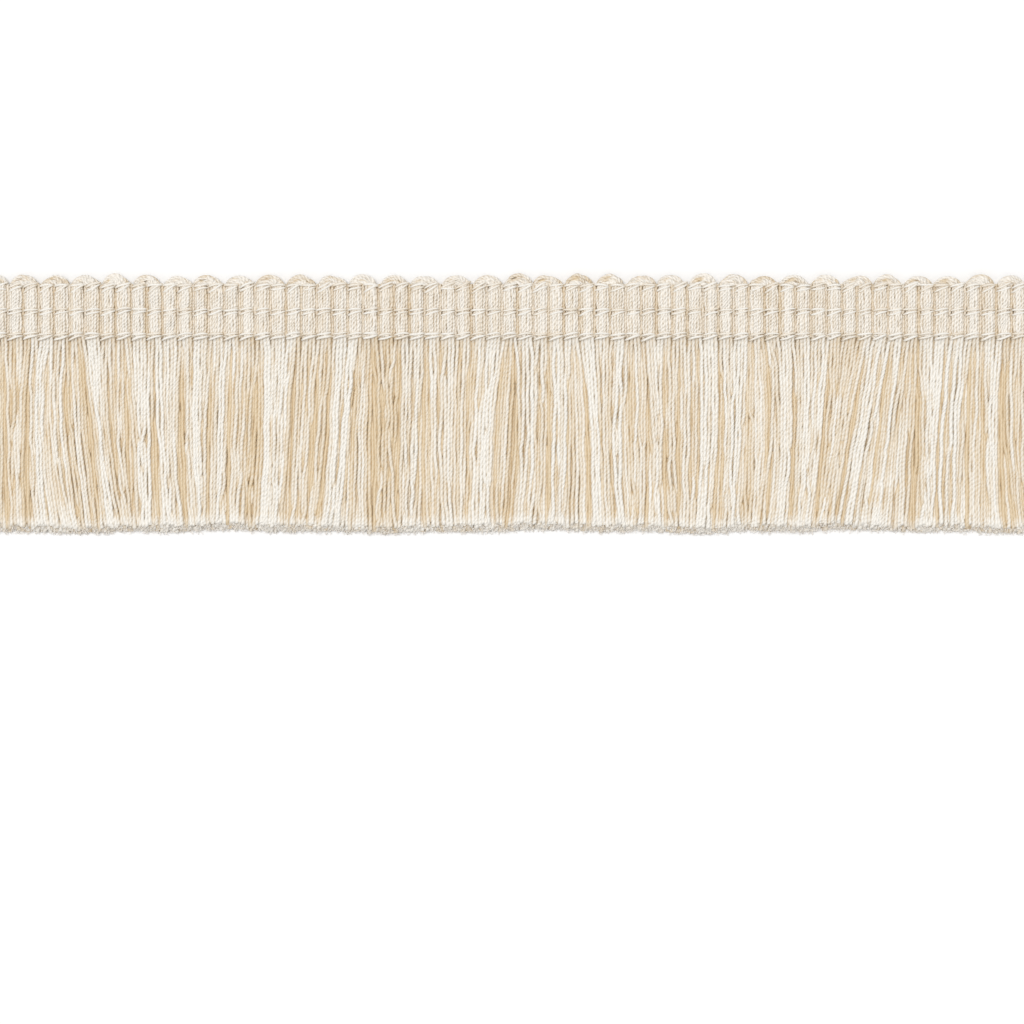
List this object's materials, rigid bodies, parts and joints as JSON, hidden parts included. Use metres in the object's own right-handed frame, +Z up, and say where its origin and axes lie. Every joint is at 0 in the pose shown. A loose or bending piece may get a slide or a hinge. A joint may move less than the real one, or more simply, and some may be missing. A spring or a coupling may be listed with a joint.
{
  "type": "brush fringe trim",
  "caption": "Flat cut length of cream cotton brush fringe: a crochet-knit heading with a picot edge and loose cut yarn ends along one side.",
  "frame": {"origin": "under the middle of the trim's bounding box, on the table that it lies on", "axes": "+X along the trim, +Y across it from the cut yarn ends up to the picot edge, +Z up from the table"},
  "size_m": [0.1026, 0.025, 0.0017],
  "materials": {
    "ribbed_heading": "matte bundled cotton yarn, undyed cream",
    "chain_thread": "fine cotton thread, slightly lighter cream",
    "fringe_yarn": "soft two-ply cotton yarn with cut brushed ends, undyed cream"
  },
  "bodies": {
    "root": {"heading_band": "ribbed_heading", "chain_top": "chain_thread", "chain_middle": "chain_thread", "chain_lower": "chain_thread", "fringe_skirt": "fringe_yarn"}
  },
  "joints": []
}
